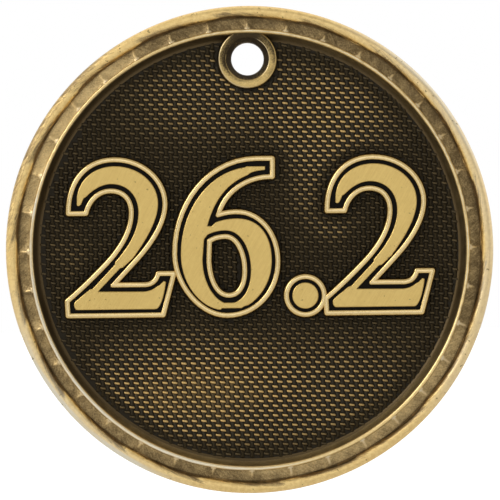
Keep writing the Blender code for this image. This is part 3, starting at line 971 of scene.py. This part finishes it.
BEAD_PROFILE = [  # offset from the bead's middle line and height from its top, millimetres, then rub
    (0.45, -1.30, 0.0), (0.41, -0.80, 0.16), (0.37, -0.42, 0.36), (0.33, -0.20, 0.48),
    (0.275, -0.10, 0.66), (0.20, -0.035, 0.84), (0.105, -0.006, 0.96), (0.0, 0.0, 1.1),
    (-0.105, -0.006, 0.96), (-0.185, -0.04, 0.84), (-0.24, -0.11, 0.66), (-0.28, -0.24, 0.40),
    (-0.295, -0.60, 0.0),
]


def bead_levels(points, hole):
    """The bead's skin from its outer foot over its top to its inner foot, and closed below."""
    way = -1 if hole else 1
    levels = []
    for offset, height, rub_and_shading in BEAD_PROFILE:
        # Painted highlight: a pale line along the top of the bead.
        marks = {"rub_and_shading": rub_and_shading, "pale": 0.3 * (rub_and_shading > 1)}
        levels.append((moved_out(points, way * offset * MM), BEAD_TOP + height * MM, marks))
    return levels + [levels[0]]


def add_bead(name, loops, node, material):
    """The raised bead round a numeral and the dark floor inside it."""
    bm, layers = new_bmesh()
    for k, points in enumerate(loops):
        add_skin(bm, bead_levels(points, hole=k > 0), layers)
    merge_near(bm)
    bead = mesh_from(bm, name)
    dark = {"rub_and_shading": 0.0, "pale": 0.0}
    floor = stacked(name + "_floor", [
        [(points, FIELD_TOP - 0.3 * MM, dark), (points, GROOVE_FLOOR, dark)] for points in loops
    ])
    bm = bmesh.new()
    bm.from_mesh(bead)
    bm.from_mesh(floor)
    bm.to_mesh(bead)
    bm.free()
    bpy.data.meshes.remove(floor)
    return finish_piece(name, bead, material, [node], 50)


FACE_PROFILE = [  # offset from the face's outline and height from its top, millimetres, then rub
    (0.03, -0.55, 0.0), (0.0, -0.12, 0.3), (-0.02, -0.05, 0.9), (-0.06, -0.012, 1.0), (-0.11, 0.0, 1.0),
]


def add_face(name, loops, node, material):
    """The flat brushed face inside a numeral's bead, with rounded edges."""
    outlines = []
    for k, points in enumerate(loops):
        way = 1 if k == 0 else -1
        outlines.append([
            (moved_out(points, way * offset * MM), FACE_TOP + height * MM, {"rub_and_shading": rub_and_shading, "pale": 0.0})
            for offset, height, rub_and_shading in FACE_PROFILE
        ])
    mesh = stacked(name, outlines)
    piece = finish_piece(name, mesh, material, [node], 60)
    for face in mesh.polygons:
        if abs(face.normal.z) > 0.999:
            face.use_smooth = False
    return piece


def add_numerals():
    """The beads and faces. Gives the beads' outlines and that of the six's eye."""
    bead_metal = antique_metal("bead_gold", (0.88, 0.66, 0.29), (0.008, 0.006, 0.003), gloss=0.26,
                               dull=0.55, grain=9000, grain_depth=3e-6, worn=(0.1, 0.8), breakup=0.15,
                               fringe=(0.56, 0.33, 0.07))
    face_metal = antique_metal("face_gold", (0.75, 0.54, 0.185), (0.02, 0.014, 0.007), gloss=0.33,
                               dull=0.5, grain=12000, grain_depth=3e-6, worn=(0.2, 0.8),
                               breakup=0.15, scratches=0.8, mottle=0.15, pits=0.6)
    loops = []
    for side in ("left", "right"):
        bead = placed(TWO_BEAD, f"{side}_two_border")
        shift = bead[0] - np.array(TWO_BEAD[0]) * MM
        face = outline_points(TWO_FACE) + shift
        add_bead(f"{side}_two_bead", [bead], f"{side}_two_border", bead_metal)
        add_face(f"{side}_two_plate", [face], f"{side}_two_face", face_metal)
        loops.append(bead)
    six = placed(SIX_BEAD, "six_border")
    shift = six[0] - np.array(SIX_BEAD[0]) * MM
    eye = outline_points(SIX_BEAD_EYE) + shift
    face = [outline_points(SIX_FACE) + shift, outline_points(SIX_FACE_EYE) + shift]
    add_bead("six_bead", [six, eye], "six_border", bead_metal)
    add_face("six_plate", face, "six_face", face_metal)
    loops.append(six)
    low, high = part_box("point_face")
    middle = ((low.x + high.x) / 2 - MIDDLE.x, (low.z + high.z) / 2 - MIDDLE.z)
    ring = circle(middle, reach("point_face") + 0.57 * MM, 72)
    add_bead("point_bead", [ring], "point_border", bead_metal)
    add_face("point_plate", [circle(middle, reach("point_face"), 72)], "point_face", face_metal)
    loops.append(ring)
    return loops, eye


# ---------------------------------------------------------------- stage, light and camera


def add_stage():
    """A pale floor, which looks as white as the air behind it."""
    reflects = 0.75
    glow = 0.6
    below_medal = 0.03
    surface = Nodes("pale_floor")
    surface.shader.inputs["Base Color"].default_value = (reflects, reflects, reflects, 1)
    surface.shader.inputs["Roughness"].default_value = 0.9
    surface.shader.inputs["Emission Color"].default_value = (1, 1, 1, 1)
    seen = surface.add("ShaderNodeLightPath").outputs["Is Camera Ray"]
    surface.join(surface.math("MULTIPLY", seen, glow), surface.shader.inputs["Emission Strength"])
    bm = bmesh.new()
    bmesh.ops.create_grid(bm, x_segments=1, y_segments=1, size=4.0)
    mesh = bpy.data.meshes.new("floor")
    bm.to_mesh(mesh)
    bm.free()
    mesh.materials.append(surface.material)
    floor = bpy.data.objects.new("floor", mesh)
    floor.location = (0, 0, CAD_BOX[0].z - below_medal)
    bpy.context.scene.collection.objects.link(floor)


def add_world():
    """White to the camera. It lights the medal less from in front than from behind."""
    front_strength = 0.47
    back_strength = 1.0
    world = bpy.data.worlds.new("studio")
    bpy.context.scene.world = world
    world.use_nodes = True
    nodes = world.node_tree.nodes
    links = world.node_tree.links
    place = nodes.new("ShaderNodeTexCoord")
    parts = nodes.new("ShaderNodeSeparateXYZ")
    links.new(place.outputs["Generated"], parts.inputs[0])
    behind = nodes.new("ShaderNodeMapRange")
    behind.interpolation_type = "SMOOTHSTEP"
    behind.inputs["From Min"].default_value = -0.8
    behind.inputs["From Max"].default_value = 0.35
    behind.inputs["To Min"].default_value = front_strength
    behind.inputs["To Max"].default_value = back_strength
    links.new(parts.outputs["Y"], behind.inputs["Value"])
    path = nodes.new("ShaderNodeLightPath")
    strength = nodes.new("ShaderNodeMath")
    strength.operation = "MAXIMUM"
    links.new(behind.outputs["Result"], strength.inputs[0])
    links.new(path.outputs["Is Camera Ray"], strength.inputs[1])
    background = nodes["Background"]
    background.inputs["Color"].default_value = (1, 1, 1, 1)
    links.new(strength.outputs[0], background.inputs["Strength"])
    bpy.context.scene.view_settings.view_transform = "Standard"


def add_light(name, place, size, power):
    """A round lamp that points at the medal. size is its diameter in metres, power in watts."""
    medal = Vector((0, 0, -0.02))
    light = bpy.data.lights.new(name, "AREA")
    light.shape = "DISK"
    light.size = size
    light.energy = power
    lamp = bpy.data.objects.new(name, light)
    lamp.location = place
    lamp.rotation_mode = "QUATERNION"
    lamp.rotation_quaternion = (medal - Vector(place)).to_track_quat("-Z", "Y")
    bpy.context.scene.collection.objects.link(lamp)


def add_lights():
    add_light("key", (-0.48, -0.42, 0.30), size=0.36, power=1.15)
    add_light("side", (0.55, -0.15, -0.02), size=0.30, power=0.04)
    add_light("front", (0.0, -0.80, 0.15), size=0.40, power=0.3)


def add_camera():
    """A very long lens, square to the face and rolled a little."""
    lens = 500.0
    sensor = 36.0
    half_view = 26.07 * MM
    roll = math.radians(0.65)
    aim = Vector((MIDDLE.x + 0.044 * MM, RIM_LOW.y, MIDDLE.z - 0.05 * MM))
    camera_data = bpy.data.cameras.new("camera")
    camera_data.lens = lens
    camera_data.sensor_width = sensor
    camera_data.clip_start = 0.01
    camera_data.clip_end = 50
    away = half_view * lens / (sensor / 2)
    camera = bpy.data.objects.new("camera", camera_data)
    camera.location = aim - Vector((0, away, 0))
    camera.rotation_euler = (math.pi / 2, roll, 0)
    bpy.context.scene.collection.objects.link(camera)
    bpy.context.scene.camera = camera


def main():
    add_camera()
    add_world()
    add_lights()
    add_stage()
    add_rim()
    add_band()
    add_lip()
    add_eyelet()
    add_back()
    loops, eye = add_numerals()
    add_weave(loops, eye)


main()
